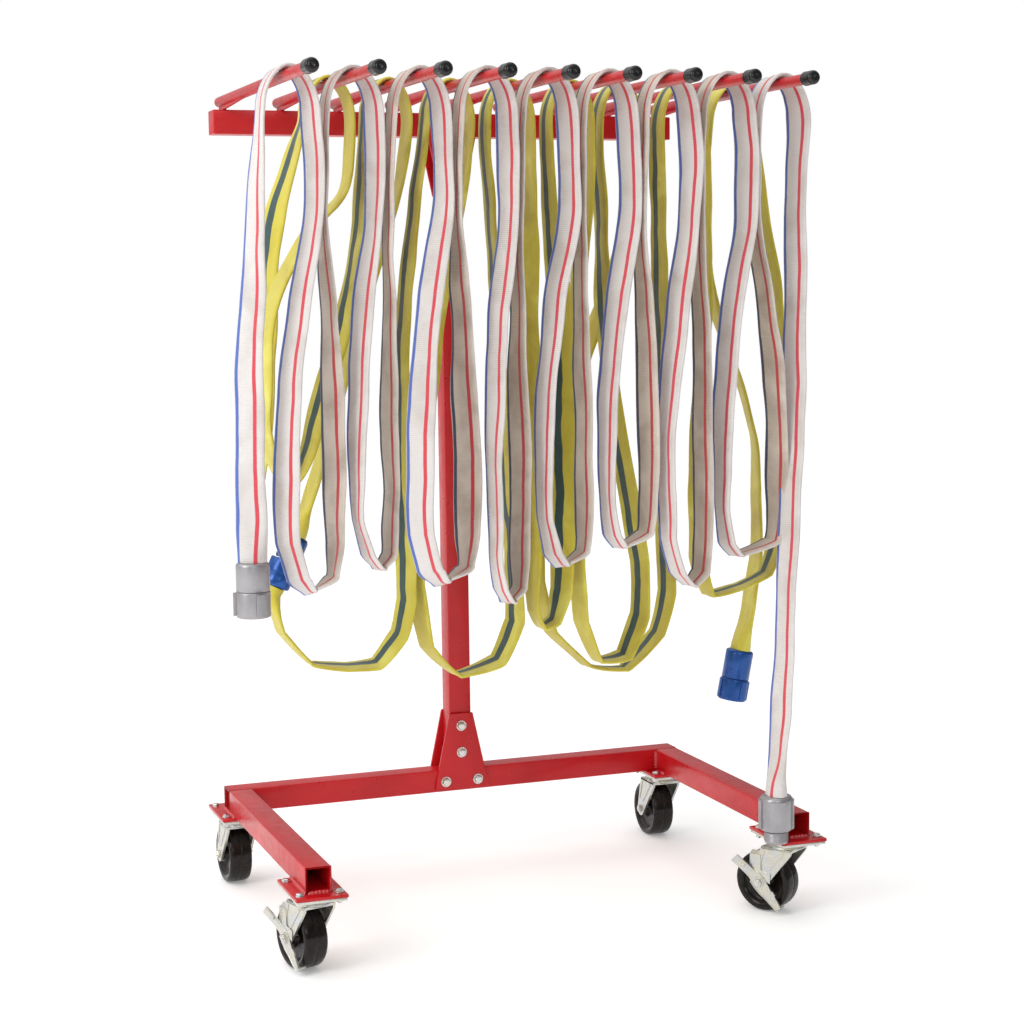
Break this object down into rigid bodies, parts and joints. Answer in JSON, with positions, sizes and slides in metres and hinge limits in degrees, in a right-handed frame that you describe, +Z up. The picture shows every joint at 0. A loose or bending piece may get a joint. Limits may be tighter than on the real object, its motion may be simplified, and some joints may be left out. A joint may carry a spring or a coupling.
{
  "type": "wheeled fire hose rack with hoses",
  "caption": "Wheeled T-shaped steel rack with round pegs along its top, carrying lay-flat fire hoses draped in loops with threaded couplings.",
  "frame": {"origin": "middle of the rack's overall footprint, on the floor", "axes": "+Z up from the floor; +X along the crossbar, to the right when facing the peg tips; +Y from the peg tips towards the post, so the peg tips point to -Y"},
  "size_m": [1.2348, 0.8655, 1.7234],
  "materials": {
    "red_paint": "gloss powder coat",
    "black_cap": "gloss vinyl",
    "zinc_steel": "bright zinc plate",
    "wheel_phenolic": "dark moulded resin",
    "white_jacket": "woven jacket",
    "yellow_jacket": "woven jacket",
    "grey_alloy": "worn cast aluminium",
    "blue_alloy": "blue anodised aluminium"
  },
  "bodies": {
    "rack": {"rear_beam": "red_paint", "leg_left": "red_paint", "leg_right": "red_paint", "post": "red_paint", "crossbar": "red_paint", "pad_front_left": "red_paint", "pad_front_right": "red_paint", "pad_rear_left": "red_paint", "pad_rear_right": "red_paint", "plate_foot_front": "red_paint", "plate_foot_rear": "red_paint", "plate_head_front": "red_paint", "plate_head_rear": "red_paint", "peg_1": "red_paint", "peg_2": "red_paint", "peg_3": "red_paint", "peg_4": "red_paint", "peg_5": "red_paint", "peg_6": "red_paint", "peg_7": "red_paint", "peg_8": "red_paint", "peg_9": "red_paint", "cap_1": "black_cap", "cap_2": "black_cap", "cap_3": "black_cap", "cap_4": "black_cap", "cap_5": "black_cap", "cap_6": "black_cap", "cap_7": "black_cap", "cap_8": "black_cap", "cap_9": "black_cap", "caster_plate_front_left": "zinc_steel", "caster_plate_front_right": "zinc_steel", "caster_plate_rear_left": "zinc_steel", "caster_plate_rear_right": "zinc_steel", "hose_white": "white_jacket", "hose_yellow_left": "yellow_jacket", "hose_yellow_right": "yellow_jacket", "coupling_white_left_shank": "grey_alloy", "coupling_white_right": "grey_alloy", "coupling_yellow_right_shank": "blue_alloy", "coupling_joint_male": "blue_alloy", "coupling_joint_female": "blue_alloy", "coupling_yellow_left": "blue_alloy"},
    "caster_front_left": {"fork_front_left": "zinc_steel", "axle_front_left": "zinc_steel"},
    "wheel_body_front_left": {"wheel_front_left": "wheel_phenolic"},
    "brake_front_left": {"brake_lever_front_left": "zinc_steel"},
    "caster_front_right": {"fork_front_right": "zinc_steel", "axle_front_right": "zinc_steel"},
    "wheel_body_front_right": {"wheel_front_right": "wheel_phenolic"},
    "brake_front_right": {"brake_lever_front_right": "zinc_steel"},
    "caster_rear_left": {"fork_rear_left": "zinc_steel", "axle_rear_left": "zinc_steel"},
    "wheel_body_rear_left": {"wheel_rear_left": "wheel_phenolic"},
    "caster_rear_right": {"fork_rear_right": "zinc_steel", "axle_rear_right": "zinc_steel"},
    "wheel_body_rear_right": {"wheel_rear_right": "wheel_phenolic"},
    "swivel_ring_white": {"coupling_white_left_swivel": "grey_alloy"},
    "swivel_ring_yellow": {"coupling_yellow_right_swivel": "blue_alloy"}
  },
  "joints": [
    {"name": "swivel_front_left", "type": "hinge", "parent": "rack", "child": "caster_front_left", "pos_m": [-0.4954, -0.3134, 0.1415], "axis": [0, 0, 1], "continuous": true},
    {"name": "roll_front_left", "type": "hinge", "parent": "caster_front_left", "child": "wheel_body_front_left", "pos_m": [-0.50701, -0.26683, 0.0635], "axis": [0.9703, 0.2419, 0], "continuous": true},
    {"name": "brake_pedal_front_left", "type": "hinge", "parent": "caster_front_left", "child": "brake_front_left", "pos_m": [-0.50701, -0.26683, 0.0635], "axis": [-0.9703, -0.2419, 0], "range_deg": [0, 25]},
    {"name": "swivel_front_right", "type": "hinge", "parent": "rack", "child": "caster_front_right", "pos_m": [0.5218, -0.3134, 0.1415], "axis": [0, 0, 1], "continuous": true},
    {"name": "roll_front_right", "type": "hinge", "parent": "caster_front_right", "child": "wheel_body_front_right", "pos_m": [0.49636, -0.27269, 0.0635], "axis": [0.848, 0.5299, 0], "continuous": true},
    {"name": "brake_pedal_front_right", "type": "hinge", "parent": "caster_front_right", "child": "brake_front_right", "pos_m": [0.49636, -0.27269, 0.0635], "axis": [-0.848, -0.5299, 0], "range_deg": [0, 25]},
    {"name": "swivel_rear_left", "type": "hinge", "parent": "rack", "child": "caster_rear_left", "pos_m": [-0.4954, 0.3206, 0.1415], "axis": [0, 0, 1], "continuous": true},
    {"name": "roll_rear_left", "type": "hinge", "parent": "caster_rear_left", "child": "wheel_body_rear_left", "pos_m": [-0.49791, 0.36853, 0.0635], "axis": [0.9986, 0.0523, 0], "continuous": true},
    {"name": "swivel_rear_right", "type": "hinge", "parent": "rack", "child": "caster_rear_right", "pos_m": [0.5218, 0.3206, 0.1415], "axis": [0, 0, 1], "continuous": true},
    {"name": "roll_rear_right", "type": "hinge", "parent": "caster_rear_right", "child": "wheel_body_rear_right", "pos_m": [0.5218, 0.3686, 0.0635], "axis": [1, 0, 0], "continuous": true},
    {"name": "coupling_swivel_white", "type": "hinge", "parent": "rack", "child": "swivel_ring_white", "pos_m": [-0.5748, -0.2244, 0.71], "axis": [0, 0, 1], "continuous": true},
    {"name": "coupling_swivel_yellow", "type": "hinge", "parent": "rack", "child": "swivel_ring_yellow", "pos_m": [0.54689, -0.0094, 0.41641], "axis": [0.1959, 0, 0.9806], "continuous": true}
  ]
}
